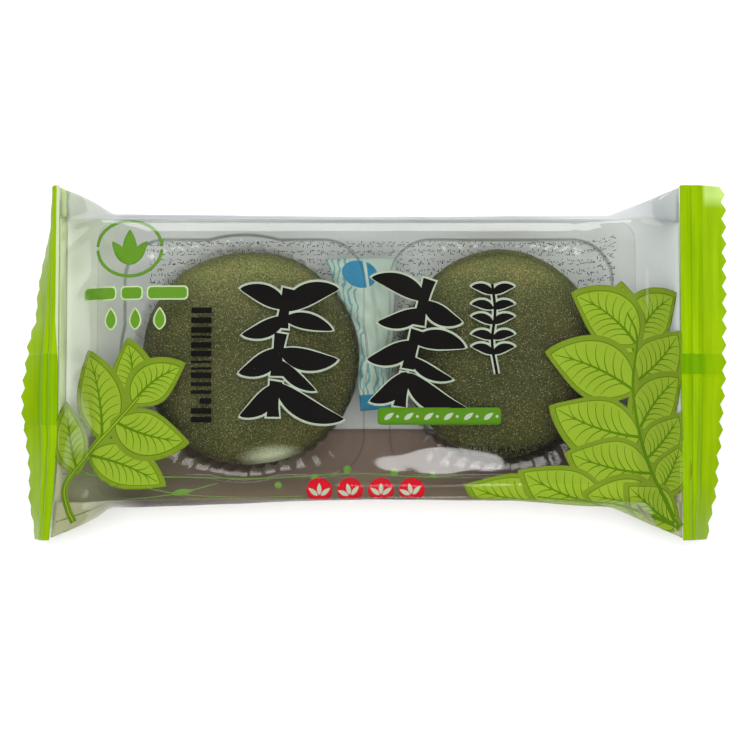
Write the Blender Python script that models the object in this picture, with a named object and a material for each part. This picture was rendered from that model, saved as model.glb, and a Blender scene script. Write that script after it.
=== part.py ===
"""A sealed clear pillow pack of two matcha mochi in their tray, lying on its back.

Metres, +Z up. The pack runs along X, its printed face looks up, and the origin is on the
surface it rests on, under the middle of its box. The film is one closed tube, drawn tight
over the tray inside it, pinched flat and crimped at both ends.
"""
import math

import bpy

# The film tube, flat, and the crimped ends that close it
FLAT_WIDTH = 0.070
TEETH = 21
TOOTH_DEPTH = 0.00095
SEAL_DEPTH = 0.00915
SEAL_THICKNESS = 0.0007
CRIMP_RIDGES = 3
CRIMP_PITCH = 0.0020
CRIMP_HEIGHT = 0.00030

# Where each crimped end starts, how high, and the rounding where it turns down
LEFT_SEAL_X = -0.0625
RIGHT_SEAL_X = 0.0602
SEAL_HEIGHT = 0.0090
FOLD_LENGTH = 0.0020
LEFT_SEAL_SKEW = 0.0014

# How far each end is turned down, in degrees, at places across the pack
LEFT_FOLD = ((-0.035, 67), (-0.025, 52), (-0.0075, 33), (0.003, 42), (0.010, 56), (0.035, 82))
RIGHT_CURL = ((-0.035, 52), (-0.022, 33), (-0.012, 21), (-0.002, 10), (0.012, 3), (0.035, 0))

# The tray that the film is drawn over: its flange, its base and the middles of its wells
TRAY_LEFT_X = -0.0537
TRAY_RIGHT_X = 0.0502
FLANGE_HALF_WIDTH = 0.0270
FLANGE_HEIGHT = 0.0168
BASE_LEFT_X = -0.0458
BASE_RIGHT_X = 0.0427
BASE_HALF_WIDTH = 0.0220
WELL_LEFT_X = -0.0248
WELL_RIGHT_X = 0.0247

# Where the film stands widest between flange and base, at places along the pack: it is
# slacker on the far side, and on both sides towards the ends
SIDE_HEIGHT = 0.0110
SIDE_FAR = ((-0.0518, 0.0290), (0.0, 0.0285), (0.0457, 0.0287))
SIDE_NEAR = ((-0.0518, 0.0287), (0.0, 0.0272), (0.025, 0.0274), (0.0457, 0.0286))

# The film over the mochi: a steep shoulder in from the flange, and a low dome over each piece
SHOULDER_SLOPE = 0.5
SHOULDER_WIDTH = 0.0023
SHOULDER_END = 0.0120
DOME_RISE = 0.00125
DIP_BETWEEN = 0.0004

# The film towards the ends, where it spreads out to the flat width of the tube
SEAL_CREASE_HALF_WIDTH = FLAT_WIDTH / 2 * 16 / TEETH
FLARE_LEFT_X = -0.0518
FLARE_RIGHT_X = 0.0457
FLARE_LEFT_EASE = 0.75

# The fin seal, folded flat along the back
FIN_THICKNESS = 0.0003
FIN_STEPS = (14, 22)

# Each layer of the film has one step for each half tooth: sides of 5 steps, a face of 32
STEPS = 2 * TEETH
SIDE_STEPS = 5
FACE_STEPS = STEPS - 2 * SIDE_STEPS

# Moves the pack along X until the middle of its box is over the origin
TO_MIDDLE = 0.0006


def mix(a, b, t):
    """The value a share t of the way from a to b."""
    return a + (b - a) * t


def share(value, start, end):
    """How far value has come from start to end, kept within 0 and 1."""
    return min(1.0, max(0.0, (value - start) / (end - start)))


def ease(t):
    """A share that starts and ends gently."""
    return t * t * (3 - 2 * t)


def across(table, place):
    """The value at a place of a short table of (place, value), joined smoothly."""
    for (start, value0), (end, value1) in zip(table, table[1:]):
        if place <= end:
            return mix(value0, value1, ease(share(place, start, end)))
    return table[-1][1]


def towards_seal(x, left_start, right_start):
    """0 between the two starts, rising to 1 where the crimped end on that side begins."""
    if x < 0:
        return share(x, left_start, LEFT_SEAL_X)
    return share(x, right_start, RIGHT_SEAL_X)


def skew(x, y):
    """The left end lies a little askew: its lower corner starts further out."""
    return -LEFT_SEAL_SKEW * share(x, TRAY_LEFT_X, LEFT_SEAL_X) * share(y, -0.012, -0.035) ** 1.5


def dome_rise(x):
    """How far the dome stands over the film's shoulders along the middle of the pack."""
    if x < WELL_LEFT_X:
        return DOME_RISE * math.sin(math.pi / 2 * share(x, TRAY_LEFT_X, WELL_LEFT_X))
    if x > WELL_RIGHT_X:
        return DOME_RISE * math.sin(math.pi / 2 * share(x, TRAY_RIGHT_X, WELL_RIGHT_X))
    between = math.sin(math.pi * share(x, WELL_LEFT_X, WELL_RIGHT_X))
    return DOME_RISE - DIP_BETWEEN * between ** 2


def roof_height(x, y):
    """How far the film stands over the flange at x, and at y from -1 to 1 across the flange."""
    inside_ends = ease(share(min(x - TRAY_LEFT_X, TRAY_RIGHT_X - x), 0, SHOULDER_END))
    shoulder = SHOULDER_SLOPE * min(FLANGE_HALF_WIDTH * (1 - abs(y)), SHOULDER_WIDTH)
    return shoulder * inside_ends + dome_rise(x) * (1 - y * y) ** 2


def fin_depth(step):
    """The fin seal stands this far out of the back at a step across it."""
    return FIN_THICKNESS if FIN_STEPS[0] <= step <= FIN_STEPS[1] else 0.0


def body_section(x):
    """The film around the tray at x, as one closed ring of (x, y, z)."""
    half_seal = SEAL_THICKNESS / 2
    top = towards_seal(x, TRAY_LEFT_X, TRAY_RIGHT_X)
    flare = towards_seal(x, FLARE_LEFT_X, FLARE_RIGHT_X) ** (FLARE_LEFT_EASE if x < 0 else 1.0)
    base = towards_seal(x, BASE_LEFT_X, BASE_RIGHT_X)
    crease_y = mix(FLANGE_HALF_WIDTH, SEAL_CREASE_HALF_WIDTH, top)
    crease_z = mix(FLANGE_HEIGHT, SEAL_HEIGHT + half_seal, top)
    edge_z = mix(SIDE_HEIGHT, SEAL_HEIGHT, flare)
    base_y = mix(BASE_HALF_WIDTH, SEAL_CREASE_HALF_WIDTH, base)
    base_z = mix(FIN_THICKNESS, SEAL_HEIGHT - half_seal, base)

    def side(way, widths):
        """Steps up to the flange and down to the base from one side's widest line."""
        edge_y = mix(across(widths, x), FLAT_WIDTH / 2, flare)
        up_bow = mix(2.0, 1.0, flare)
        down_bow = mix(1.4, 1.0, flare)
        steps = [step / SIDE_STEPS for step in range(SIDE_STEPS + 1)]
        up = [(way * mix(edge_y, crease_y, t ** up_bow), mix(edge_z, crease_z, t)) for t in steps]
        down = [(way * mix(edge_y, base_y, t ** down_bow), mix(edge_z, base_z, t)) for t in steps]
        return up, down

    far_up, far_down = side(1, SIDE_FAR)
    near_up, near_down = side(-1, SIDE_NEAR)
    roof = []
    floor = []
    for step in range(1, FACE_STEPS):
        y = -1 + 2 * step / FACE_STEPS
        roof.append((crease_y * y, crease_z + roof_height(x, y)))
        floor.append((-base_y * y, base_z - fin_depth(step)))

    over = near_up + roof + far_up[::-1]
    under = far_down[1:] + floor + near_down[:0:-1]
    return [(x + skew(x, y), y, z) for y, z in over + under]


def crimp(distance):
    """Height of the crimped ridges at a distance from the start of the seal."""
    if distance >= CRIMP_RIDGES * CRIMP_PITCH:
        return 0.0
    return CRIMP_HEIGHT * (1 - math.cos(2 * math.pi * distance / CRIMP_PITCH)) / 2


def on_fold(angle, distance, offset):
    """(out, up) at a distance along a strip that turns down by angle, offset off its face."""
    turned = max(angle, 0.001) * share(distance, 0, FOLD_LENGTH)
    radius = FOLD_LENGTH / max(angle, 0.001)
    straight = max(0.0, distance - FOLD_LENGTH)
    out = radius * math.sin(turned) + straight * math.cos(turned)
    drop = radius * (1 - math.cos(turned)) + straight * math.sin(turned)
    return out + offset * math.sin(turned), offset * math.cos(turned) - drop


def seal_section(seal_x, fold, distance):
    """One crimped end's ring at a distance from its start, as (x, y, z)."""
    outward = math.copysign(1, seal_x)

    def point(step, offset):
        y = FLAT_WIDTH * (step / STEPS - 0.5)
        reach = distance
        if distance == SEAL_DEPTH and step % 2 == 0:
            reach -= TOOTH_DEPTH
        angle = math.radians(across(fold, y))
        out, up = on_fold(angle, reach, offset + crimp(distance))
        return (seal_x + outward * out + skew(seal_x, y), y, SEAL_HEIGHT + up)

    half = SEAL_THICKNESS / 2
    over = [point(step, 0 if step in (0, STEPS) else half) for step in range(STEPS + 1)]
    under = [point(STEPS - step, -half - fin_depth(step - SIDE_STEPS)) for step in range(1, STEPS)]
    return over + under


def all_sections():
    """The rings of the whole pack, from its left end to its right."""
    seal_steps = [step * CRIMP_PITCH / 2 for step in range(1, 2 * CRIMP_RIDGES + 1)] + [SEAL_DEPTH]
    stations = [mix(LEFT_SEAL_X, TRAY_LEFT_X, step / 3) for step in range(3)]
    stations += [TRAY_LEFT_X, FLARE_LEFT_X, BASE_LEFT_X]
    stations += [mix(BASE_LEFT_X, BASE_RIGHT_X, step / 10) for step in range(1, 10)]
    stations += [BASE_RIGHT_X, FLARE_RIGHT_X, TRAY_RIGHT_X]
    stations += [mix(TRAY_RIGHT_X, RIGHT_SEAL_X, step / 3) for step in range(1, 4)]
    left = [seal_section(LEFT_SEAL_X, LEFT_FOLD, distance) for distance in seal_steps[::-1]]
    right = [seal_section(RIGHT_SEAL_X, RIGHT_CURL, distance) for distance in seal_steps]
    return left + [body_section(x) for x in stations] + right, len(left)


def loft(rings):
    """Vertices and faces of a closed skin through the rings, with an end face at both ends."""
    count = len(rings[0])
    points = [(x + TO_MIDDLE, y, z) for ring in rings for x, y, z in ring]
    faces = []
    for ring in range(len(rings) - 1):
        for step in range(count):
            following = (step + 1) % count
            a = ring * count + step
            b = ring * count + following
            faces.append((a, a + count, b + count, b))
    for start, flipped in ((0, False), ((len(rings) - 1) * count, True)):
        for step in range(STEPS):
            over = (start + step, start + step + 1)
            under = (start + (count - step - 1) % count, start + (count - step) % count)
            face = list(dict.fromkeys(over + under))
            faces.append(face[::-1] if flipped else face)
    return points, faces


def plastic(name, colour, roughness):
    """A glossy film material."""
    material = bpy.data.materials.new(name)
    material.use_nodes = True
    shader = material.node_tree.nodes["Principled BSDF"]
    shader.inputs["Base Color"].default_value = (*colour, 1)
    shader.inputs["Roughness"].default_value = roughness
    shader.inputs["Metallic"].default_value = 0
    material.diffuse_color = (*colour, 1)
    return material


def build_pack(collection):
    """The sealed pack as one solid, its two crimped ends in the green of their print."""
    rings, seal_rings = all_sections()
    points, faces = loft(rings)
    mesh = bpy.data.meshes.new("flow_pack")
    mesh.from_pydata(points, [], faces)
    mesh.materials.append(plastic("clear_film_over_tray", (0.42, 0.46, 0.33), 0.2))
    mesh.materials.append(plastic("green_crimped_film", (0.28, 0.50, 0.01), 0.3))
    quads = (len(rings) - 1) * len(rings[0])
    for polygon in mesh.polygons:
        ring = polygon.index // len(rings[0])
        at_end = ring < seal_rings or ring >= len(rings) - 1 - seal_rings
        polygon.material_index = 1 if at_end or polygon.index >= quads else 0
    mesh.shade_smooth()
    mesh.set_sharp_from_angle(angle=math.radians(30))
    pack = bpy.data.objects.new("flow_pack", mesh)
    collection.objects.link(pack)
    return pack


def main():
    for existing in list(bpy.data.objects):
        bpy.data.objects.remove(existing, do_unlink=True)
    collection = bpy.data.collections.new("matcha_mochi_pack")
    bpy.context.scene.collection.children.link(collection)
    build_pack(collection)


main()
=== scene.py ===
"""The looks of a sealed clear pack of two matcha mochi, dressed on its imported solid.

Metres, +Z up. The pack lies on its back along X with its printed face up. Places on the film
are given as (x, w): x along the pack, and w the way round the film from the middle of its face,
so that w is nearly y on the face, and the film's back seam is at both ends of w.
"""
import math

import bpy
import numpy as np
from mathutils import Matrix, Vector, noise
from mathutils.geometry import delaunay_2d_cdt


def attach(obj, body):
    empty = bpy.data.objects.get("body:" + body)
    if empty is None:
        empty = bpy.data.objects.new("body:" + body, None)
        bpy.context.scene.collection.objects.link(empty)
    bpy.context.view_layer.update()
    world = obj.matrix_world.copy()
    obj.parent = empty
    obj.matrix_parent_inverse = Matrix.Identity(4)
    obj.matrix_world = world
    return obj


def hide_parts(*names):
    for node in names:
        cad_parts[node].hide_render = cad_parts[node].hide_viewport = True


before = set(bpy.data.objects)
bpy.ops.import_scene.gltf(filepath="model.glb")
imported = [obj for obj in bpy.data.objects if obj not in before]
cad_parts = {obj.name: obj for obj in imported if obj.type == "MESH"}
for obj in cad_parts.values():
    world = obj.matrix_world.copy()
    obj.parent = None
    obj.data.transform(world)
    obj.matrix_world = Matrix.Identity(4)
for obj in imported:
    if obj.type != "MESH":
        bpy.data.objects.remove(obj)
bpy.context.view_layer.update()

# The tray
# One sheet of clear PET, vacuum-formed: a flat flange, two rounded square recesses, and in each a
# round well with fluted walls. It lies loose in the film, which is drawn tight over its flange.
FLANGE_TOP = 0.0165
TRAY_LEFT = -0.0537
TRAY_RIGHT = 0.0502
TRAY_HALF_WIDTH = 0.0268
TRAY_CORNER = 0.0037
TRAY_THICKNESS = 0.00022
WELL_Y = 0.0004
WELLS = (
    {"x": -0.0254, "rim": 0.0234, "round": 0.0222, "outwards": -1},
    {"x": 0.0243, "rim": 0.0218, "round": 0.0207, "outwards": 1},
)
BULGE = 0.0008
RECESS_HALF_WIDTH = 0.0232
RECESS_CORNER = 0.0080
SHELF_TOP = 0.0137
WELL_FLOOR = 0.0008
FLUTES = 48
FLUTE_DEPTH = 0.00055
POINTS_A_FLUTE = 6

# The sheet's bend from the flange down to the shelf, as (in from the rim, height)
BEND = (
    (0.0, FLANGE_TOP),
    (0.00010, FLANGE_TOP - 0.00002),
    (0.00026, FLANGE_TOP - 0.00011),
    (0.00036, FLANGE_TOP - 0.00026),
    (0.00042, FLANGE_TOP - 0.0006),
    (0.00046, SHELF_TOP + 0.0005),
    (0.00052, SHELF_TOP + 0.00018),
    (0.00064, SHELF_TOP + 0.00004),
)

# The well's wall from the shelf down, as (in from its top, share of the flutes' depth, height)
WALL = (
    (0.0, 1.0, SHELF_TOP - 0.0001),
    (0.00015, 1.0, SHELF_TOP - 0.0004),
    (0.0007, 1.0, 0.0100),
    (0.0012, 1.0, 0.0065),
    (0.0018, 0.8, 0.0030),
    (0.0024, 0.5, 0.0014),
    (0.0034, 0.2, 0.0009),
    (0.0055, 0.0, WELL_FLOOR),
)

# Every piece is moved this far along X, so that the middle of the pack's box is over the origin
TO_MIDDLE = 0.0006


def linear(colour):
    """An sRGB hex colour as the linear colour that Blender's sockets take."""
    channels = [int(colour[start:start + 2], 16) / 255 for start in (1, 3, 5)]
    return [c / 12.92 if c <= 0.04045 else ((c + 0.055) / 1.055) ** 2.4 for c in channels] + [1.0]


def node(tree, kind, inputs=None, stops=(), **settings):
    """A new node with its settings, its ramp's stops, and its inputs set or linked.

    Where an input is given a node, that node's first output in use is linked to it.
    """
    made = tree.nodes.new(kind)
    for name, value in settings.items():
        setattr(made, name, value)
    for name, value in (inputs or {}).items():
        if isinstance(value, bpy.types.Node):
            value = next(output for output in value.outputs if output.enabled)
        if isinstance(value, bpy.types.NodeSocket):
            tree.links.new(value, made.inputs[name])
        else:
            made.inputs[name].default_value = value
    if stops:
        elements = made.color_ramp.elements
        elements.remove(elements[1])
        elements[0].position, elements[0].color = stops[0]
        for at, colour in stops[1:]:
            elements.new(at).color = colour
    return made


def toned(tree, colour, other, *limits, most=1.0):
    """A colour turned to another where each of a few values has come from its start to its end."""
    mask = most
    for value, start, end in limits:
        limit = {"Value": value, "From Min": start, "From Max": end}
        passed = node(tree, "ShaderNodeMapRange", limit)
        mask = node(tree, "ShaderNodeMath", {0: passed, 1: mask}, operation="MULTIPLY")
    return node(tree, "ShaderNodeMix", {"Factor": mask, 6: colour, 7: other}, data_type="RGBA")


def new_material(name):
    """An empty material, its tree, and the place on the piece that its patterns read."""
    material = bpy.data.materials.new(name)
    material.use_nodes = True
    tree = material.node_tree
    tree.nodes.clear()
    return material, tree, node(tree, "ShaderNodeTexCoord").outputs["Object"]


def new_piece(name, points, faces, *materials, smooth=True):
    """A mesh piece with its place in its points."""
    mesh = bpy.data.meshes.new(name)
    mesh.from_pydata((np.asarray(points, float) + (TO_MIDDLE, 0, 0)).tolist(), [], faces)
    for material in materials:
        mesh.materials.append(material)
    if smooth:
        mesh.shade_smooth()
    piece = bpy.data.objects.new(name, mesh)
    bpy.context.scene.collection.objects.link(piece)
    return piece


def quads_between(rings, count, closed=True):
    """Faces that join rings of count points each, in order."""
    faces = []
    for ring in range(rings - 1):
        for step in range(count if closed else count - 1):
            following = (step + 1) % count
            a, b = ring * count + step, ring * count + following
            faces.append((a, b, b + count, a + count))
    return faces


def to_rounded_rectangle(angle, half_x, half_y, radius):
    """How far it is from the middle of a rounded rectangle to its edge, at each angle."""
    c, s = np.abs(np.cos(angle)), np.abs(np.sin(angle))
    reach = np.minimum(half_x / np.maximum(c, 1e-9), half_y / np.maximum(s, 1e-9))
    middle_x, middle_y = half_x - radius, half_y - radius
    along = middle_x * c + middle_y * s
    inside = radius ** 2 - (middle_x ** 2 + middle_y ** 2 - along ** 2)
    corner = along + np.sqrt(np.maximum(inside, 0))
    in_corner = (reach * c > middle_x) & (reach * s > middle_y)
    return np.where(in_corner, corner, reach)


def well_rings(well, seam_x):
    """One well's half of the tray as rings of points, from the flange's edge to its base."""
    count = FLUTES * POINTS_A_FLUTE
    angle = np.arange(count) * 2 * math.pi / count
    outer_x = TRAY_LEFT if well["outwards"] < 0 else TRAY_RIGHT
    to_edge, to_seam = abs(outer_x - well["x"]), abs(seam_x - well["x"])
    for up in (-1, 1):
        corner = math.atan2(up * TRAY_HALF_WIDTH - WELL_Y, -well["outwards"] * to_seam)
        corner %= 2 * math.pi
        angle[np.argmin(np.abs(angle - corner))] = corner
    outwards = np.cos(angle) * well["outwards"] > 0
    up = np.sin(angle) > 0
    half_y = np.where(up, TRAY_HALF_WIDTH - WELL_Y, TRAY_HALF_WIDTH + WELL_Y)
    edge = np.where(
        outwards,
        to_rounded_rectangle(angle, to_edge, half_y, TRAY_CORNER),
        to_rounded_rectangle(angle, to_seam, half_y, 0.0),
    )
    at_seam = ~outwards & (edge * np.abs(np.cos(angle)) > to_seam - 1e-6)
    half = well["rim"]
    recess = to_rounded_rectangle(angle, half, RECESS_HALF_WIDTH, RECESS_CORNER)
    rim = np.maximum(recess, half + BULGE)
    flute = FLUTE_DEPTH * np.abs(np.cos(FLUTES / 2 * angle))
    wall = well["round"] - FLUTE_DEPTH
    middle = (edge + rim) / 2
    rings = [
        (edge, np.where(at_seam, FLANGE_TOP, FLANGE_TOP - 0.0001)),
        (edge - 0.0002, FLANGE_TOP),
        (np.maximum(edge - 0.0005, middle + 0.00002), FLANGE_TOP),
        (np.minimum(rim + 0.0003, middle - 0.00002), FLANGE_TOP),
    ]
    rings += [(rim - inward, z) for inward, z in BEND]
    rings.append((np.maximum(rim - 0.00080, wall + flute + 0.0001), SHELF_TOP))
    rings += [(wall + flute * fluted - inward, z) for inward, fluted, z in WALL]
    rings.append((wall * 0.4 + 0 * angle, WELL_FLOOR))
    ways = np.column_stack((np.cos(angle), np.sin(angle)))
    middle = (well["x"], WELL_Y)
    return [
        np.column_stack((middle + np.reshape(out, (-1, 1)) * ways, np.full(count, z)))
        for out, z in rings
    ]


def tray_sheet():
    """Both halves of the tray's sheet, as points and faces."""
    seam_x = (WELLS[0]["x"] + WELLS[1]["x"]) / 2
    points, faces = [], []
    for well in WELLS:
        rings = well_rings(well, seam_x)
        start = sum(len(part) for part in points)
        count = len(rings[0])
        faces += [tuple(start + i for i in face) for face in quads_between(len(rings), count)]
        last = start + (len(rings) - 1) * count
        middle = start + len(rings) * count
        faces += [(last + step, last + (step + 1) % count, middle) for step in range(count)]
        points += rings + [np.array([[well["x"], WELL_Y, WELL_FLOOR]])]
    return np.vstack(points), faces


def glossed(tree, under, head_on, along, roughness, share_left=1.0):
    """Ends a clear material with a gloss that mirrors more where one looks along the surface."""
    edge_on = node(tree, "ShaderNodeLayerWeight", {"Blend": 0.5}).outputs["Facing"]
    slant = node(tree, "ShaderNodeMath", {0: edge_on, 1: 5.0}, operation="POWER")
    rising = {0: slant, 1: along, 2: head_on}
    mirror = node(tree, "ShaderNodeMath", rising, operation="MULTIPLY_ADD")
    mirror = node(tree, "ShaderNodeMath", {0: mirror, 1: share_left}, operation="MULTIPLY")
    gloss = node(tree, "ShaderNodeBsdfGlossy", {"Color": linear("#ffffff"), "Roughness": roughness})
    both = node(tree, "ShaderNodeMixShader", {0: mirror, 1: under, 2: gloss})
    node(tree, "ShaderNodeOutputMaterial", {"Surface": both})


# Clear PET sheet: crisp reflections, and it darkens where one looks along a wall, and in its bends,
# which turn the light aside
pet, tree, place = new_material("vacuum_formed_clear_pet")
edge_on = node(tree, "ShaderNodeLayerWeight", {"Blend": 0.5}).outputs["Facing"]
dark = node(tree, "ShaderNodeMath", {0: edge_on, 1: 6.0}, operation="POWER")
tint = toned(tree, linear("#fefefe"), linear("#7c8280"), (dark, 0.0, 1.0))
height = node(tree, "ShaderNodeSeparateXYZ", {0: place}).outputs[2]
above_shelf = (height, SHELF_TOP + 0.0001, SHELF_TOP + 0.00058)
below_flange = (height, FLANGE_TOP - 0.00025, FLANGE_TOP - 0.00035)
tint = toned(tree, tint, linear("#d4d8d6"), above_shelf, below_flange)
through = node(tree, "ShaderNodeBsdfTransparent", {"Color": tint})
glossed(tree, through, head_on=0.045, along=0.6, roughness=0.06)

tray = new_piece("tray", *tray_sheet(), pet)
weld = tray.modifiers.new("weld", "WELD")
weld.merge_threshold = 0.00001
wall = tray.modifiers.new("sheet_thickness", "SOLIDIFY")
wall.thickness = TRAY_THICKNESS
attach(tray, "root")

# The mochi
# Two soft cakes of steamed rice dough coloured with matcha, moulded squat and round, a little
# uneven, with a fine wrinkled skin. Each fills its well and touches the film along its top.
MOCHI = (
    {"name": "mochi_left", "at": (-0.0246, 0.0008), "half": (0.0215, 0.0210), "seed": 3.0},
    {"name": "mochi_right", "at": (0.0246, 0.0018), "half": (0.0196, 0.0204), "seed": 11.0},
)
MOCHI_BASE = 0.0011
MOCHI_WAIST = 0.0078
MOCHI_TOP = 0.0184
TOP_FULLNESS = 0.80
BASE_FULLNESS = 0.62
DOME_FULLNESS = 0.90
SOFT_DENTS = 0.00045
FINE_DENTS = 0.00010
MOCHI_STEPS = (220, 110)


def mochi_form(cake):
    """Points and faces of one cake: a squat rounded form pushed in and out by soft noise."""
    around, down = MOCHI_STEPS
    middle_x, middle_y = cake["at"]
    half_x, half_y = cake["half"]
    points = [(middle_x, middle_y, MOCHI_TOP)]
    for step in range(1, down):
        turn = math.pi * step / down
        height = abs(math.cos(turn)) ** DOME_FULLNESS
        out = math.sin(turn) ** TOP_FULLNESS
        z = MOCHI_WAIST + height * (MOCHI_TOP - MOCHI_WAIST)
        if turn > math.pi / 2:
            out = math.sin(turn) ** BASE_FULLNESS
            z = MOCHI_WAIST - height * (MOCHI_WAIST - MOCHI_BASE)
        for side in range(around):
            angle = 2 * math.pi * side / around
            x, y = out * half_x * math.cos(angle), out * half_y * math.sin(angle)
            at = Vector((x, y, z))
            dent = SOFT_DENTS * noise.noise(at * 75 + Vector((cake["seed"], 0, 0)))
            dent += FINE_DENTS * noise.noise(at * 420 + Vector((0, cake["seed"], 0)))
            push = 1 + dent / half_x
            points.append((middle_x + x * push, middle_y + y * push, z + dent * height * 0.6))
    points.append((middle_x, middle_y, MOCHI_BASE))
    last = len(points) - 1
    faces = [tuple(1 + i for i in face[::-1]) for face in quads_between(down - 1, around)]
    faces += [(0, 1 + side, 1 + (side + 1) % around) for side in range(around)]
    faces += [(last, last - 1 - side, last - 1 - (side + 1) % around) for side in range(around)]
    return points, faces


def mottled(tree, place, scale, colour, other, detail=4.0):
    """A colour with soft patches of another."""
    patches = node(tree, "ShaderNodeTexNoise", {"Vector": place, "Scale": scale, "Detail": detail})
    return toned(tree, linear(colour), linear(other), (patches, 0.0, 1.0))


def crinkled(tree, place, scale, strength, depth, detail=4.0):
    """A surface pushed in and out by fine crinkles."""
    fine = node(tree, "ShaderNodeTexNoise", {"Vector": place, "Scale": scale, "Detail": detail})
    return node(tree, "ShaderNodeBump", {"Strength": strength, "Distance": depth, "Height": fine})


# Matcha rice dough: matt and a little translucent, moss green with warmer brown patches, its skin
# wrinkled every 0.7 mm and freckled with starch too fine to model
dough, tree, place = new_material("matcha_rice_dough")
x, y, _ = node(tree, "ShaderNodeSeparateXYZ", {0: place}).outputs
patches = node(tree, "ShaderNodeTexNoise", {"Vector": place, "Scale": 120.0, "Detail": 3.0})
green_to_brown = (0.38, linear("#565b31")), (0.66, linear("#636138"))
skin = node(tree, "ShaderNodeValToRGB", {"Fac": patches}, green_to_brown)
grit = node(tree, "ShaderNodeTexNoise", {"Vector": place, "Scale": 3400.0, "Detail": 2.0})
dark_to_pale = (0.42, (0.66, 0.68, 0.62, 1)), (0.66, (1.90, 1.84, 1.76, 1))
freckles = node(tree, "ShaderNodeValToRGB", {"Fac": grit}, dark_to_pale)

# Painted light and shade across each cake: paler towards the far side, where the light comes from,
# with a painted highlight at the far edge, and darker over the middle and near side; the right
# cake is darker all over
far_side = node(tree, "ShaderNodeMapRange", {"Value": y, "From Min": -0.020, "From Max": 0.020})
PAINTED_LIGHT = ((0.10, 0.56), (0.38, 0.45), (0.62, 0.45), (0.73, 0.54), (0.84, 0.78), (0.93, 1.24))
shade_to_light = [(at, (pale, pale, pale * 1.04, 1)) for at, pale in PAINTED_LIGHT]
painted_light_falloff = node(tree, "ShaderNodeValToRGB", {"Fac": far_side}, shade_to_light)
right_cake = toned(tree, (1, 1, 1, 1), (0.84, 0.84, 0.80, 1), (x, -0.005, 0.005))
for layer in (freckles, painted_light_falloff, right_cake):
    layers = {"Factor": 1.0, 6: skin, 7: layer}
    skin = node(tree, "ShaderNodeMix", layers, data_type="RGBA", blend_type="MULTIPLY")

# A soft ragged pale patch, about 13 by 6 mm, on the left cake's near shoulder: partly starch lying
# thick there, partly a painted glare standing in for the film's soft reflection over it
starch_glare_place = {"Vector": place, "Location": (2.66, 6.45, 0.0), "Scale": (145.0, 330.0, 0.0)}
in_starch_glare = node(tree, "ShaderNodeMapping", starch_glare_place)
from_starch_glare = node(tree, "ShaderNodeVectorMath", {0: in_starch_glare}, operation="LENGTH")
ragged = node(tree, "ShaderNodeMath", {0: grit, 1: 0.9, 2: from_starch_glare}, operation="MULTIPLY_ADD")
skin = toned(tree, skin, linear("#cfd8b6"), (ragged, 1.55, 0.85), most=0.9)
body = node(tree, "ShaderNodeBsdfPrincipled", {
    "Base Color": skin,
    "Roughness": 0.62,
    "Subsurface Weight": 0.12,
    "Subsurface Radius": (0.9, 1.0, 0.4),
    "Subsurface Scale": 0.0012,
    "Specular IOR Level": 0.35,
    "Normal": crinkled(tree, place, 1400.0, 0.7, 0.00025),
})
node(tree, "ShaderNodeOutputMaterial", {"Surface": body})

# Dry potato starch, dusted over the cakes: tiny pale grains that catch the light
starch, tree, place = new_material("dry_potato_starch")
pale = mottled(tree, place, 900.0, "#7d7a50", "#b8b590", detail=2.0)
grain = node(tree, "ShaderNodeBsdfPrincipled", {"Base Color": pale, "Roughness": 0.5})
node(tree, "ShaderNodeOutputMaterial", {"Surface": grain})


def new_growth(name, *sizes):
    """An empty Geometry Nodes tree with a mesh going in, named sizes, and a mesh coming out."""
    growth = bpy.data.node_groups.new(name, "GeometryNodeTree")
    growth.interface.new_socket("Geometry", in_out="INPUT", socket_type="NodeSocketGeometry")
    growth.interface.new_socket("Geometry", in_out="OUTPUT", socket_type="NodeSocketGeometry")
    for size in sizes:
        growth.interface.new_socket(size, in_out="INPUT", socket_type="NodeSocketFloat")
    return growth, node(growth, "NodeGroupInput").outputs


def finish_growth(growth, instances, material):
    """Ends a tree by making its instances real and giving them their material."""
    real = node(growth, "GeometryNodeRealizeInstances", {"Geometry": instances})
    coated = node(growth, "GeometryNodeSetMaterial", {"Geometry": real, "Material": material})
    node(growth, "NodeGroupOutput", {"Geometry": coated})


def grown(name, mesh, growth, **sizes):
    """What a tree makes of a mesh, kept as a plain mesh piece."""
    host = bpy.data.objects.new(name + "_host", mesh)
    bpy.context.scene.collection.objects.link(host)
    modifier = host.modifiers.new("growth", "NODES")
    modifier.node_group = growth
    for socket in growth.interface.items_tree:
        if socket.in_out == "INPUT" and socket.name in sizes:
            modifier[socket.identifier] = sizes[socket.name]
    bpy.context.view_layer.update()
    evaluated = host.evaluated_get(bpy.context.evaluated_depsgraph_get())
    made = bpy.data.meshes.new_from_object(evaluated)
    bpy.data.objects.remove(host)
    piece = bpy.data.objects.new(name, made)
    bpy.context.scene.collection.objects.link(piece)
    return piece


dusting, sizes = new_growth(
    "starch_dusting", "Grains a square metre", "Grain size", "Lowest", "Seed")
point = node(dusting, "GeometryNodeInputPosition")
height = node(dusting, "ShaderNodeSeparateXYZ", {0: point}).outputs[2]
heights = {0: height, 1: sizes["Lowest"]}
above = node(dusting, "FunctionNodeCompare", heights, operation="GREATER_THAN")
spots = node(dusting, "GeometryNodeDistributePointsOnFaces", {
    "Mesh": sizes["Geometry"],
    "Selection": above,
    "Density": sizes["Grains a square metre"],
    "Seed": sizes["Seed"],
})
round_bead = {"Radius": sizes["Grain size"], "Subdivisions": 1}
bead = node(dusting, "GeometryNodeMeshIcoSphere", round_bead)
spread = node(dusting, "FunctionNodeRandomValue", {2: 0.45, 3: 1.15, "Seed": 5}, data_type="FLOAT")
any_way = {0: (0.0, 0.0, 0.0), 1: (6.28, 6.28, 6.28), "Seed": 6}
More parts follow.
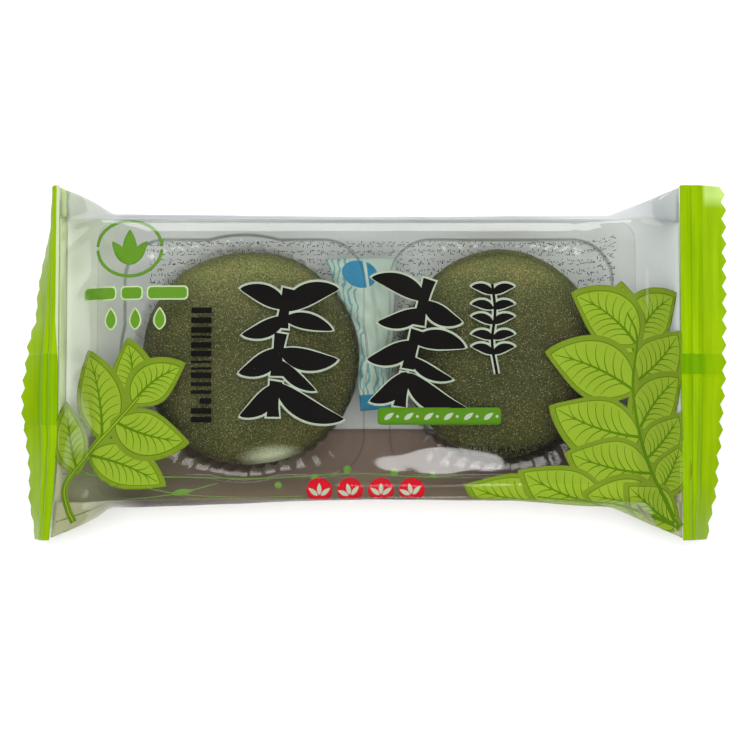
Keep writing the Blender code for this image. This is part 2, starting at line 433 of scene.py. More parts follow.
turned = node(dusting, "FunctionNodeRandomValue", any_way, data_type="FLOAT_VECTOR")
beads = node(dusting, "GeometryNodeInstanceOnPoints", {
    "Points": spots,
    "Instance": bead,
    "Rotation": turned,
    "Scale": spread,
})
finish_growth(dusting, beads, starch)

for cake in MOCHI:
    mochi = new_piece(cake["name"], *mochi_form(cake), dough)
    grains = grown(cake["name"] + "_starch", mochi.data, dusting, **{
        "Grains a square metre": 2.7e6,
        "Grain size": 0.000085,
        "Lowest": 0.0065,
        "Seed": cake["seed"],
    })
    for piece in (mochi, grains):
        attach(piece, "root")

# The sachet
# A small flat paper sachet, such as keeps a sealed pack of food fresh, dropped in between the wells
# under the tray's bridge: pale cream with a cyan border and a printed blue lens, creased down it.
SACHET_TOP = ((-0.0100, 0.0205), (0.0042, 0.0208))
SACHET_WAIST = ((-0.0040, 0.0060), (0.0036, 0.0060))
SACHET_FOOT = ((-0.0030, -0.0096), (0.0030, -0.0090))
SACHET_STEPS = (40, 70)
SACHET_HEIGHT = 0.0060
SACHET_PUFF = 0.0011
SACHET_RISE = 0.0018
SACHET_SEALS = (0.5, 0.25)
SACHET_CREASE = 0.66
SACHET_CREASE_WIDTH = 0.05
SACHET_CREASE_DEPTH = 0.55
HALF_PAPER = 0.00004


def sachet_place(across_it, down_it):
    """Plan place on the sachet: across from 0 to 1, down from its top at 0 to its foot at 1."""
    top, waist, foot = (np.array(edge) for edge in (SACHET_TOP, SACHET_WAIST, SACHET_FOOT))
    weights = ((1 - down_it) ** 2, 2 * down_it * (1 - down_it), down_it ** 2)
    left, right = (
        sum(weight[..., None] * edge[end] for weight, edge in zip(weights, (top, waist, foot)))
        for end in (0, 1)
    )
    return left + (right - left) * across_it[..., None]


def two_faced(over, under, places):
    """Points, faces and UV places of a flat piece with two faces, closed round its edges."""
    rings = np.concatenate((over, under[:, ::-1]), axis=1)
    count = rings.shape[1]
    faces = quads_between(len(rings), count)
    last = (len(rings) - 1) * count
    for start, flip in ((0, False), (last, True)):
        for step in range(over.shape[1] - 1):
            near, far = start + step, start + count - 1 - step
            face = (near, far, far - 1, near + 1)
            faces.append(face[::-1] if flip else face)
    uv = np.concatenate((places, places[:, ::-1]), axis=1).reshape(-1, 2)
    return rings.reshape(-1, 3), faces, uv


def sachet_form():
    """The sachet: two faces puffed apart inside flat sealed edges."""
    across_steps, down_steps = SACHET_STEPS
    u, v = np.linspace(0, 1, across_steps), np.linspace(0, 1, down_steps)
    u, v = np.meshgrid(u, v, indexing="ij")
    plan = sachet_place(u, v)
    from_sides = np.minimum(u, 1 - u) / SACHET_SEALS[0]
    from_ends = np.minimum(v, 1 - v) / SACHET_SEALS[1]
    inside = np.clip(np.minimum(from_sides, from_ends), 0, 1)
    off_crease = (u - SACHET_CREASE) / SACHET_CREASE_WIDTH
    creased = 1 - SACHET_CREASE_DEPTH * np.exp(-off_crease ** 2)
    puff = SACHET_PUFF * np.sqrt(inside) * creased + HALF_PAPER
    lie = SACHET_HEIGHT + SACHET_RISE * (1 - v)
    lie = lie + 0.0004 * np.sin(9 * v + 4 * u) + 0.00022 * np.sin(31 * v - 13 * u)
    over, under = (np.dstack((plan, lie + rise)) for rise in (puff, -puff))
    return two_faced(over, under, np.dstack((u, v)))


def set_uv(piece, uv):
    """Keeps a place for each point of a piece as its UV map."""
    layer = piece.data.uv_layers.new(name="UVMap")
    corner_points = np.zeros(len(piece.data.loops), int)
    piece.data.loops.foreach_get("vertex_index", corner_points)
    layer.data.foreach_set("uv", uv[corner_points].astype(np.float32).ravel())


# Coated sachet paper: matt cream and crinkled, u across it and v down it
paper, tree, place = new_material("coated_sachet_paper")
uv = node(tree, "ShaderNodeTexCoord").outputs["UV"]
u, v, _ = node(tree, "ShaderNodeSeparateXYZ", {0: uv}).outputs
printed_paper = mottled(tree, place, 300.0, "#c6d2c2", "#aec6b8")

# Fine wavy lines in cyan down its left side and across its foot
wave = {"Vector": place, "Scale": 260.0, "Distortion": 9.0, "Detail": 2.0}
on_line = node(tree, "ShaderNodeTexWave", wave), 0.780, 0.781
for border in ((u, 0.340, 0.339), (v, 0.700, 0.701)):
    printed_paper = toned(tree, printed_paper, linear("#6ba3aa"), on_line, border)

# A blue lens, broken by the crease down the sachet, and a blue band at its foot
lens_place = {"Vector": uv, "Location": (-1.63, -1.19, 0.0), "Scale": (3.7, 10.8, 0.0)}
lens_at = node(tree, "ShaderNodeMapping", lens_place)
from_lens = node(tree, "ShaderNodeVectorMath", {0: lens_at}, operation="LENGTH")
beside_crease = node(tree, "ShaderNodeMath", {0: u, 1: 0.54}, operation="SUBTRACT")
from_crease = node(tree, "ShaderNodeMath", {0: beside_crease}, operation="ABSOLUTE")
for blue_at in (((from_lens, 1.0, 0.999), (from_crease, 0.0220, 0.0221)), ((v, 0.900, 0.901),)):
    printed_paper = toned(tree, printed_paper, linear("#2f86ab"), *blue_at)
relief = crinkled(tree, place, 500.0, 0.4, 0.0003, detail=3.0)
finish = {"Base Color": printed_paper, "Roughness": 0.5, "Normal": relief}
body = node(tree, "ShaderNodeBsdfPrincipled", finish)
node(tree, "ShaderNodeOutputMaterial", {"Surface": body})

sachet_points, sachet_faces, sachet_uv = sachet_form()
sachet = new_piece("sachet", sachet_points, sachet_faces, paper)
set_uv(sachet, sachet_uv)
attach(sachet, "root")

# The film's form
# One web of clear polypropylene, wrapped round the tray into a tube. It is tight over the flange,
# stands up over the two cakes, and narrows from the tray's ends to the flat crimped seals.
FLAT_WIDTH = 0.070
LEFT_SEAL_X = -0.0625
RIGHT_SEAL_X = 0.0602
SEAL_HEIGHT = 0.0090
HALF_SEAL = 0.00012
LEFT_SEAL_SKEW = 0.0014
FLANGE_HALF_WIDTH = 0.0270
FLANGE_HEIGHT = 0.0168
BASE_LEFT_X = -0.0458
BASE_RIGHT_X = 0.0427
BASE_HALF_WIDTH = 0.0220
BASE_HEIGHT = 0.0003
WELL_LEFT_X = -0.0248
WELL_RIGHT_X = 0.0247
SIDE_HEIGHT = 0.0110
SIDE_FAR = ((-0.0518, 0.0290), (0.0, 0.0285), (0.0457, 0.0287))
SIDE_NEAR = ((-0.0518, 0.0287), (0.0, 0.0272), (0.025, 0.0274), (0.0457, 0.0286))
SHOULDER_SLOPE = 0.5
SHOULDER_WIDTH = 0.0023
SHOULDER_END = 0.0120
DOME_RISE = 0.00125
DIP_BETWEEN = 0.0004
UPPER_WALL_CURVE = 2.0
LOWER_WALL_CURVE = 1.4
SEAL_CREASE_HALF_WIDTH = FLAT_WIDTH / 2 * 16 / 21
FLARE_LEFT_X = -0.0518
FLARE_RIGHT_X = 0.0457
FLARE_LEFT_EASE = 0.75
# A fold is as round as the film's form averaged over this reach, along and round it
FOLD_REACH = (0.0008, 0.0004)

# The film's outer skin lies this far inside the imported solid, to stay within its box
SKIN_INSET = 0.00006

# How far round the film, from the middle of its face, the flange, the widest line, the base and
# the back seam come
ROUND_TO_FLANGE = FLANGE_HALF_WIDTH
ROUND_TO_SIDE = 0.0331
ROUND_TO_BASE = 0.0458
ROUND_TO_SEAM = 0.0678

# Creases where the film is gathered, as (from x, from w, to x, to w, height, half width) in mm
CREASES = (
    (-61.5, 26.5, -54.5, 27.5, 0.30, 0.45),
    (-61.8, 29.0, -55.5, 28.3, -0.25, 0.50),
    (-62.0, 22.0, -55.0, 25.5, 0.22, 0.50),
    (-62.0, 31.0, -57.0, 29.5, 0.25, 0.45),
    (-60.0, 12.0, -54.2, 17.0, 0.10, 0.9),
    (-61.0, -3.0, -54.3, -1.0, 0.10, 1.1),
    (-61.5, -15.0, -54.0, -12.0, -0.10, 1.0),
    (-53.6, -26.6, -48.5, -22.8, 0.22, 0.32),
    (-60.5, -30.0, -54.0, -27.0, 0.30, 0.45),
    (-60.0, -26.5, -55.0, -25.6, -0.25, 0.45),
    (-58.5, -33.0, -53.0, -29.5, 0.28, 0.40),
    (-57.0, -29.0, -52.5, -27.6, -0.22, 0.35),
    (36.5, 24.0, 40.0, 26.6, 0.16, 0.35),
    (40.0, 26.6, 49.0, 26.9, 0.16, 0.35),
    (50.2, 26.6, 55.5, 30.5, 0.26, 0.40),
    (55.5, 30.5, 59.8, 33.6, 0.22, 0.40),
    (50.5, 26.0, 59.5, 26.5, 0.24, 0.45),
    (51.5, 24.5, 52.3, 4.0, 0.12, 0.45),
    (53.3, 25.5, 54.6, 6.0, -0.10, 0.50),
    (55.2, 24.0, 56.0, 10.0, 0.08, 0.45),
    (51.0, -25.8, 59.0, -24.0, 0.24, 0.50),
    (50.6, -26.6, 58.0, -31.5, 0.30, 0.50),
    (49.5, -27.3, 55.5, -33.5, -0.24, 0.45),
    (45.0, -25.0, 50.0, -26.4, 0.14, 0.6),
    (-7.0, -23.2, 27.5, -23.4, -0.55, 4.7),
)


def blend(a, b, t):
    """The values a share t of the way from a to b."""
    return a + (b - a) * t


def share(value, start, end):
    """How far values have come from start to end, kept within 0 and 1."""
    return np.clip((value - start) / (end - start), 0.0, 1.0)


def ease(t):
    """Shares that start and end gently."""
    return t * t * (3 - 2 * t)


def across(table, place):
    """The values at places of a short table of (place, value), joined smoothly."""
    knots, values = np.array(table, float).T
    cell = np.clip(np.searchsorted(knots, place, side="right") - 1, 0, len(knots) - 2)
    return blend(values[cell], values[cell + 1], ease(share(place, knots[cell], knots[cell + 1])))


def towards_seal(x, left_start, right_start):
    """0 between the two starts, rising to 1 where the crimped end on that side begins."""
    return np.where(x < 0, share(x, left_start, LEFT_SEAL_X), share(x, right_start, RIGHT_SEAL_X))


def skew(x, y):
    """The left end lies a little askew: its lower corner starts further out."""
    return -LEFT_SEAL_SKEW * share(x, TRAY_LEFT, LEFT_SEAL_X) * share(y, -0.012, -0.035) ** 1.5


def roof_height(x, over):
    """How far the film stands over the flange: a steep shoulder, and a low dome over each cake."""
    inside_ends = ease(share(np.minimum(x - TRAY_LEFT, TRAY_RIGHT - x), 0.0, SHOULDER_END))
    shoulder = SHOULDER_SLOPE * np.minimum(FLANGE_HALF_WIDTH * (1 - over), SHOULDER_WIDTH)
    dome = np.sin(math.pi / 2 * np.where(
        x < 0, share(x, TRAY_LEFT, WELL_LEFT_X), share(x, TRAY_RIGHT, WELL_RIGHT_X)))
    between = np.sin(math.pi * share(x, WELL_LEFT_X, WELL_RIGHT_X))
    middle = DOME_RISE * dome - DIP_BETWEEN * between ** 2
    return shoulder * inside_ends + middle * (1 - over ** 2) ** 2


def tight_film(x, w):
    """The film's form with sharp folds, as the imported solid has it."""
    around = (w + ROUND_TO_SEAM) % (2 * ROUND_TO_SEAM) - ROUND_TO_SEAM
    side, out = np.sign(around), np.abs(around)
    top = towards_seal(x, TRAY_LEFT, TRAY_RIGHT)
    flare = towards_seal(x, FLARE_LEFT_X, FLARE_RIGHT_X) ** np.where(x < 0, FLARE_LEFT_EASE, 1.0)
    base = towards_seal(x, BASE_LEFT_X, BASE_RIGHT_X)
    crease_y = blend(FLANGE_HALF_WIDTH, SEAL_CREASE_HALF_WIDTH, top)
    crease_z = blend(FLANGE_HEIGHT, SEAL_HEIGHT + HALF_SEAL, top)
    side_y = np.where(side > 0, across(SIDE_FAR, x), across(SIDE_NEAR, x))
    edge_y = blend(side_y, FLAT_WIDTH / 2, flare)
    edge_z = blend(SIDE_HEIGHT, SEAL_HEIGHT, flare)
    base_y = blend(BASE_HALF_WIDTH, SEAL_CREASE_HALF_WIDTH, base)
    base_z = blend(BASE_HEIGHT, SEAL_HEIGHT - HALF_SEAL, base)
    over = share(out, 0.0, ROUND_TO_FLANGE)
    upper = share(out, ROUND_TO_SIDE, ROUND_TO_FLANGE)
    lower = share(out, ROUND_TO_SIDE, ROUND_TO_BASE)
    under = share(out, ROUND_TO_SEAM, ROUND_TO_BASE)
    y = np.select(
        [out < ROUND_TO_FLANGE, out < ROUND_TO_SIDE, out < ROUND_TO_BASE],
        [
            crease_y * over,
            blend(edge_y, crease_y, upper ** blend(UPPER_WALL_CURVE, 1.0, flare)),
            blend(edge_y, base_y, lower ** blend(LOWER_WALL_CURVE, 1.0, flare)),
        ],
        base_y * under,
    ) * side
    z = np.select(
        [out < ROUND_TO_FLANGE, out < ROUND_TO_SIDE, out < ROUND_TO_BASE],
        [
            crease_z + roof_height(x, over),
            blend(edge_z, crease_z, upper),
            blend(edge_z, base_z, lower),
        ],
        base_z,
    )
    return np.stack((x + skew(x, y), y, z), axis=-1)


def rounded_film(x, w):
    """The film's form with its folds rounded, by averaging it over a small reach."""
    free = share(np.minimum(x - LEFT_SEAL_X, RIGHT_SEAL_X - x), 0.0, 0.0020)
    total = 0
    for along, along_weight in ((-1, 1), (0, 2), (1, 1)):
        for around, around_weight in ((-2, 1), (-1, 2), (0, 2), (1, 2), (2, 1)):
            part = tight_film(x + along * FOLD_REACH[0] * free, w + around * FOLD_REACH[1])
            total = total + part * (along_weight * around_weight / 32)
    return total


def creases(x, w):
    """How far the film is pushed out by its creases and its gentle unevenness."""
    x, w = x * 1000, w * 1000
    taut = 0.25 + 0.75 * np.clip((np.abs(np.abs(w) - 28.0) - 1.5) / 3.0, 0, 1)
    push = 0.035 * np.sin(x / 3.1 + np.sin(w / 5.3)) * np.sin(w / 4.3 + np.sin(x / 6.7))
    push = (push + 0.02 * np.sin(x / 1.7 + w / 2.9)) * taut
    for x0, w0, x1, w1, height, half in CREASES:
        length = math.hypot(x1 - x0, w1 - w0)
        along = ((x - x0) * (x1 - x0) + (w - w0) * (w1 - w0)) / length
        off = ((x - x0) * (w1 - w0) - (w - w0) * (x1 - x0)) / length
        ends = np.sin(math.pi * np.clip(along / length, 0, 1)) ** 0.7
        push = push + height * ends * np.exp(-(off / half) ** 2)
    return push / 1000


def film(x, w, inset=0.0):
    """Points of the film at places (x, w), or inset below it."""
    x, w = np.broadcast_arrays(np.asarray(x, float), np.asarray(w, float))
    step = 0.0003
    along = rounded_film(x + step, w) - rounded_film(x - step, w)
    around = rounded_film(x, w + step) - rounded_film(x, w - step)
    normal = np.cross(along, around)
    normal /= np.linalg.norm(normal, axis=-1, keepdims=True)
    held = share(np.minimum(x - LEFT_SEAL_X, RIGHT_SEAL_X - x), 0.0, 0.0015)
    push = (creases(x, w) - SKIN_INSET) * held - inset
    return rounded_film(x, w) + normal * push[..., None]


# Clear oriented polypropylene film: thin, bright and hard in its reflections, with a faint haze
clear_film, tree, place = new_material("clear_oriented_polypropylene")
milky = node(tree, "ShaderNodeTexNoise", {"Vector": place, "Scale": 90.0, "Detail": 3.0})
haze = node(tree, "ShaderNodeMath", {0: milky, 1: 0.007}, operation="MULTIPLY")
through = node(tree, "ShaderNodeBsdfTransparent", {"Color": linear("#fdfefc")})
cloudy = node(tree, "ShaderNodeBsdfDiffuse", {"Color": linear("#f2f6f0")})
clear = node(tree, "ShaderNodeMixShader", {0: haze, 1: through, 2: cloudy})

# Along the middle of the near edge its mirror is dimmed to a fifth: painted shade, standing in for
# the dark surface it would reflect there
x, y, _ = node(tree, "ShaderNodeSeparateXYZ", {0: place}).outputs
off_middle = node(tree, "ShaderNodeMath", {0: x}, operation="ABSOLUTE")
near_edge = ((y, -0.0238, -0.0242), (off_middle, 0.052, 0.044))
dimmed_mirror = toned(tree, (1, 1, 1, 1), (0.2, 0.2, 0.2, 1), *near_edge)
glossed(tree, clear, head_on=0.075, along=0.85, roughness=0.05, share_left=dimmed_mirror)

# The back of the film
# The same web, printed on its back: a white panel from the far shoulder to past the middle, with
# rows of small print, and a green bar at the left seal. A brown field on the near side is painted
# shade: the shaded tabletop seen through the clear film.
PANEL_LEFT = -0.0610
PANEL_RIGHT = 0.0600
PANEL_START = 0.0277
PANEL_END = 0.0808
TINT_LEFT = -0.0622
TINT_END = 2 * ROUND_TO_SEAM - 0.0276
BAR_START = 0.0284
BACK_PRINT_DEPTH = 0.00010
PRINT_THICKNESS = 0.000006


def sheet_on_film(name, x_range, w_range, inset, coat, pitch=0.0009):
    """A field of print over a range of the film, on its inside."""
    x = np.linspace(*x_range, max(3, int(abs(x_range[1] - x_range[0]) / pitch)))
    w = np.linspace(*w_range, max(3, int(abs(w_range[1] - w_range[0]) / pitch)))
    grid_x, grid_w = np.meshgrid(x, w, indexing="ij")
    points = film(grid_x, grid_w, inset).reshape(-1, 3)
    faces = [face[::-1] for face in quads_between(len(x), len(w), closed=False)]
    sheet = new_piece(name, points, faces, coat)
    wall = sheet.modifiers.new("ink_thickness", "SOLIDIFY")
    wall.thickness = PRINT_THICKNESS
    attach(sheet, "root")
    return sheet


def sheer_coat(tree, finish, through, tint):
    """Ends a material as a coat that lets a share of the light through, tinted."""
    coat = node(tree, "ShaderNodeBsdfPrincipled", finish)
    clear = node(tree, "ShaderNodeBsdfTransparent", {"Color": linear(tint)})
    both = node(tree, "ShaderNodeMixShader", {0: through, 1: coat, 2: clear})
    node(tree, "ShaderNodeOutputMaterial", {"Surface": both})


def ink(name, colour, other, through=0.0, roughness=0.55):
    """Printing ink: one flat colour, mottled towards another where it lay thinner on the film."""
    material, tree, place = new_material(name)
    laid = mottled(tree, place, 260.0, colour, other)
    finish = {"Base Color": laid, "Roughness": roughness, "Specular IOR Level": 0.02}
    sheer_coat(tree, finish, through, other)
    return material


# White gravure ink: a little blue, greener where the green seal shows through at the left and
# greyer at the right, and thin enough to pass light, so that its folds and shaded parts stay pale
white_ink, tree, place = new_material("white_gravure_ink")
x, y, z = node(tree, "ShaderNodeSeparateXYZ", {0: place}).outputs
white = mottled(tree, place, 150.0, "#f3f5f4", "#fbfcfc", detail=3.0)
white = toned(tree, white, linear("#d9e0cd"), (x, -0.047, -0.058))
white = toned(tree, white, linear("#d2d6d6"), (x, 0.050, 0.058))


def along_film(tree, x, *stops):
    """A brightness that changes along the film, through stops from its left end to its right."""
    ends = {"Value": x, "From Min": -0.0625, "From Max": 0.0600}
    from_end = node(tree, "ShaderNodeMapRange", ends)
    greys = [(at, (grey, grey, grey, 1)) for at, grey in stops]
    return node(tree, "ShaderNodeValToRGB", {"Fac": from_end}, greys)


# Up the far wall it is painted grey-blue as shade on that side wall, less so where the wall flares
# out to both ends
stretched = along_film(
    tree, x, (0.0, 0.15), (0.06, 0.3), (0.12, 0.85), (0.74, 0.9), (0.83, 0.5), (1.0, 0.3))
far_wall = ((y, 0.0268, 0.0277), (z, 0.0085, 0.0110))
white = toned(tree, white, linear("#8a8f9c"), (stretched, 0.0, 1.0), *far_wall)
reflected = node(tree, "ShaderNodeBsdfDiffuse", {"Color": white})
passed = node(tree, "ShaderNodeBsdfTranslucent", {"Color": white})
both = node(tree, "ShaderNodeMixShader", {0: 0.38, 1: reflected, 2: passed})
node(tree, "ShaderNodeOutputMaterial", {"Surface": both})

# Painted shade: a sheer warm grey-brown sheet on the back, standing in for the shaded tabletop
# seen through the clear film; lighter beyond the flange's edge, greyer where it flares out to both
# ends, and painted dark down the near wall between them
tabletop_shade, tree, place = new_material("painted_tabletop_shade")
x, y, z = node(tree, "ShaderNodeSeparateXYZ", {0: place}).outputs
brown = mottled(tree, place, 200.0, "#87746a", "#9f8a7e", detail=5.0)
brown = toned(tree, brown, linear("#a7957f"), (y, -0.0212, -0.0226))
flared = along_film(
    tree, x,
    (0.0, 1.0), (0.075, 0.9), (0.11, 0.55), (0.27, 0.0), (0.88, 0.0), (0.95, 0.8), (1.0, 0.8))
brown = toned(tree, brown, linear("#a8aa86"), (flared, 0.0, 1.0))
between = along_film(tree, x, (0.06, 0.0), (0.14, 1.0), (0.90, 1.0), (0.97, 0.0))
# Painted shade, dark down the near wall between the flared ends
near_wall = ((y, -0.0266, -0.0274), (z, 0.0080, 0.0115))
brown = toned(tree, brown, linear("#3a312a"), (between, 0.0, 1.0), *near_wall)
finish = {"Base Color": brown, "Roughness": 0.4, "Specular IOR Level": 0.1}
sheer_coat(tree, finish, 0.16, "#b3a698")

pale_green_ink = ink("sheer_pale_green_ink", "#b5c295", "#a5b884", through=0.10)
panel_x, panel_w = (PANEL_LEFT, PANEL_RIGHT), (PANEL_START, PANEL_END)
sheet_on_film("back_panel", panel_x, panel_w, BACK_PRINT_DEPTH, white_ink)
tint_x, tint_w = (TINT_LEFT, PANEL_RIGHT), (PANEL_END, TINT_END)
sheet_on_film("back_tabletop_shade", tint_x, tint_w, BACK_PRINT_DEPTH, tabletop_shade)
bar_x, bar_w = (LEFT_SEAL_X + 0.0001, PANEL_LEFT), (BAR_START, PANEL_END)
sheet_on_film("back_bar_left", bar_x, bar_w, 0.00006, pale_green_ink)

# The fin seal: both edges of the web sealed face to face in a strip, folded flat along the back
FIN_TOP_Y = 0.00275
FIN_BOTTOM_Y = -0.00825
FIN_STANDS_OUT = 0.00026
FIN_THICKNESS = 0.00008
fin_film, tree, place = new_material("heat_sealed_double_film")
ribbed = node(tree, "ShaderNodeTexWave", {"Vector": place, "Scale": 420.0, "Distortion": 0.4})
ribs = node(tree, "ShaderNodeBump", {"Strength": 0.5, "Distance": 0.0001, "Height": ribbed})
finish = {"Base Color": linear("#c9cec6"), "Roughness": 0.3, "Normal": ribs}
sheer_coat(tree, finish, 0.45, "#e6e9e2")
fin_w = (ROUND_TO_SEAM - FIN_TOP_Y, ROUND_TO_SEAM - FIN_BOTTOM_Y)
fin = sheet_on_film(
    "fin_seal", (LEFT_SEAL_X, RIGHT_SEAL_X), fin_w, -FIN_STANDS_OUT, fin_film, pitch=0.0006)
fin.modifiers["ink_thickness"].thickness = FIN_THICKNESS

# Rows of small print on the panel, seen from inside: short black strokes, as print this small
# shows, in groups with gaps between
MARK_COLUMNS = 420
MARK_ROWS = 13
GROUP_COLUMNS = 9.0
GROUP_FILLED = 6.5
MARKS_LENGTH = 0.0940
MARKS_HEIGHT = 0.0260
MARKS_MIDDLE = (0.0010, 0.0122)
MARKS_DEPTH = 0.00012
black_ink = ink("black_gravure_ink", "#080505", "#0e0c0b", roughness=0.45)
rows, sizes = new_growth("rows_of_small_print", "Row length", "Rows height", "Stroke")
cells = node(rows, "GeometryNodeMeshGrid", {
    "Size X": sizes["Row length"],
    "Size Y": sizes["Rows height"],
    "Vertices X": MARK_COLUMNS,
    "Vertices Y": MARK_ROWS,
})
astray = {0: (-0.0001, -0.0007, 0.0), 1: (0.0001, 0.0007, 0.0), "Seed": 3}
shifts = node(rows, "FunctionNodeRandomValue", astray, data_type="FLOAT_VECTOR")
strewn = node(rows, "GeometryNodeSetPosition", {"Geometry": cells, "Offset": shifts})
order = node(rows, "GeometryNodeInputIndex")
column = node(rows, "ShaderNodeMath", {0: order, 1: float(MARK_ROWS)}, operation="DIVIDE")
whole = node(rows, "ShaderNodeMath", {0: column}, operation="FLOOR")
in_group = node(rows, "ShaderNodeMath", {0: whole, 1: GROUP_COLUMNS}, operation="MODULO")
kept = node(rows, "FunctionNodeCompare", {0: in_group, 1: GROUP_FILLED}, operation="LESS_THAN")
upright = node(rows, "FunctionNodeRandomValue", {4: 0, 5: 1, "Seed": 8}, data_type="INT")
quarter = node(rows, "ShaderNodeMath", {0: upright, 1: math.pi / 2}, operation="MULTIPLY")
turn = node(rows, "ShaderNodeCombineXYZ", {2: quarter})
any_length = {0: (1.8, 0.8, 1.0), 1: (5.2, 1.1, 1.0), "Seed": 9}
stretch = node(rows, "FunctionNodeRandomValue", any_length, data_type="FLOAT_VECTOR")
block_size = {0: sizes["Stroke"], 1: sizes["Stroke"], 2: PRINT_THICKNESS}
stroke = node(rows, "ShaderNodeCombineXYZ", block_size)
block = node(rows, "GeometryNodeMeshCube", {"Size": stroke})
strokes = node(rows, "GeometryNodeInstanceOnPoints", {
    "Points": strewn,
    "Selection": kept,
    "Instance": block,
    "Rotation": turn,
    "Scale": stretch,
})
finish_growth(rows, strokes, black_ink)
small_print = grown(
    "back_small_print",
    bpy.data.meshes.new("empty"),
    rows,
    **{"Row length": MARKS_LENGTH, "Rows height": MARKS_HEIGHT, "Stroke": 0.00013},
)
corners = np.zeros(len(small_print.data.vertices) * 3)
small_print.data.vertices.foreach_get("co", corners)
mark_x, mark_y, mark_z = corners.reshape(-1, 3).T
mark_w = ROUND_TO_SEAM - MARKS_MIDDLE[1] - mark_y
laid = film(MARKS_MIDDLE[0] + mark_x, mark_w, MARKS_DEPTH + mark_z)
small_print.data.vertices.foreach_set("co", (laid + (TO_MIDDLE, 0, 0)).ravel())
small_print.data.update()
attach(small_print, "root")

FILM_STEPS_ALONG = 210
FILM_STEPS_ROUND = 228


def film_tube():
    """The film as one closed skin: a tube with an end face where each crimped seal begins."""
    x = np.linspace(LEFT_SEAL_X, RIGHT_SEAL_X, FILM_STEPS_ALONG)
    w = np.linspace(-ROUND_TO_SEAM, ROUND_TO_SEAM, FILM_STEPS_ROUND, endpoint=False)
    grid_x, grid_w = np.meshgrid(x, w, indexing="ij")
    points = film(grid_x, grid_w).reshape(-1, 3)
    faces = [face[::-1] for face in quads_between(len(x), len(w))]
    last = (len(x) - 1) * len(w)
    faces.append(tuple(range(len(w))))
    faces.append(tuple(last + step for step in range(len(w)))[::-1])
    return points, faces


film_skin = new_piece("film_skin", *film_tube(), clear_film)
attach(film_skin, "root")
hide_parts("flow_pack")

# The crimped ends
# At each end the tube is pinched flat and heat-sealed between ribbed jaws, then cut off with a
# zigzag knife. Both layers carry a solid green print there, darker where the fin seal doubles it.
TEETH = 21
TOOTH_DEPTH = 0.00095
SEAL_DEPTH = 0.00915
CRIMP_RIDGES = 2
CRIMP_PITCH = 0.0021
CRIMP_HEIGHT = 0.00030
FOLD_LENGTH = 0.0020
LEFT_FOLD = ((-0.035, 67), (-0.025, 52), (-0.0075, 33), (0.003, 42), (0.010, 56), (0.035, 82))
RIGHT_CURL = ((-0.035, 52), (-0.022, 33), (-0.012, 21), (-0.002, 10), (0.012, 3), (0.035, 0))
LEFT_FIN = (-0.0124, 0.0016)
RIGHT_FIN = (-0.0024, 0.0016)
FIN_RISE = 0.00022
CORNER_DROOP = 0.0016
DROOP_ACROSS = (0.0300, 0.0350)
DROOP_OUT = (0.0042, 0.0080)
RIPPLE = 0.00006
STEPS_A_TOOTH = 10
STEPS_OUT = 60


def crimp(distance):
    """Height of the crimped ridges at a distance from the start of the seal."""
    ridge = CRIMP_HEIGHT * (1 - np.cos(2 * math.pi * distance / CRIMP_PITCH)) / 2
    return np.where(distance < CRIMP_RIDGES * CRIMP_PITCH, ridge, 0.0)


def crimped_end(seal_x, fold, fin):
    """Points, faces and places of one crimped end: two layers, closed round their edges."""
    outward = math.copysign(1, seal_x)
    y = np.linspace(-FLAT_WIDTH / 2, FLAT_WIDTH / 2, TEETH * STEPS_A_TOOTH + 1)
    depth = np.linspace(0, 1, STEPS_OUT)
    saw = np.abs((y / FLAT_WIDTH * TEETH + 0.5 * TEETH) % 1 - 0.5) * 2
    reach = SEAL_DEPTH - TOOTH_DEPTH * saw
    ridges = CRIMP_RIDGES * CRIMP_PITCH
    even = depth[:, None] * SEAL_DEPTH
    stretched = ridges + (even - ridges) / (SEAL_DEPTH - ridges) * (reach - ridges)
    distance = np.where(even < ridges, even, stretched)
    angle = np.radians(np.broadcast_to(across(fold, y), distance.shape)) + 0.001
    ripple = RIPPLE * np.sin(y * 900) * np.sin(distance * 700)
    over_fin = share(y, fin[0] - 0.0004, fin[0]) * share(y, fin[1] + 0.0004, fin[1])
    bumps = crimp(distance) + ripple + FIN_RISE * over_fin * share(distance, 0.0, 0.0010)
    if outward > 0:
        droop = ease(share(y, *DROOP_ACROSS)) * ease(share(distance, *DROOP_OUT))
        bumps = bumps - CORNER_DROOP * droop
    x_start = seal_x + skew(np.full(y.shape, seal_x), y)
    turned = angle * np.clip(distance / FOLD_LENGTH, 0, 1)
    radius = FOLD_LENGTH / angle
    straight = np.maximum(0, distance - FOLD_LENGTH)
    across_y = np.broadcast_to(y, distance.shape)
    layers = []
    for offset in (HALF_SEAL, -HALF_SEAL):
        height = offset + bumps
        out = radius * np.sin(turned) + straight * np.cos(turned) + height * np.sin(turned)
        up = height * np.cos(turned) - radius * (1 - np.cos(turned)) - straight * np.sin(turned)
        layers.append(np.stack((x_start + outward * out, across_y, SEAL_HEIGHT + up), axis=-1))
    places = np.dstack((distance / SEAL_DEPTH, across_y / FLAT_WIDTH + 0.5))
    points, faces, uv = two_faced(*layers, places)
    return points, [face[::-1] for face in faces] if outward > 0 else faces, uv


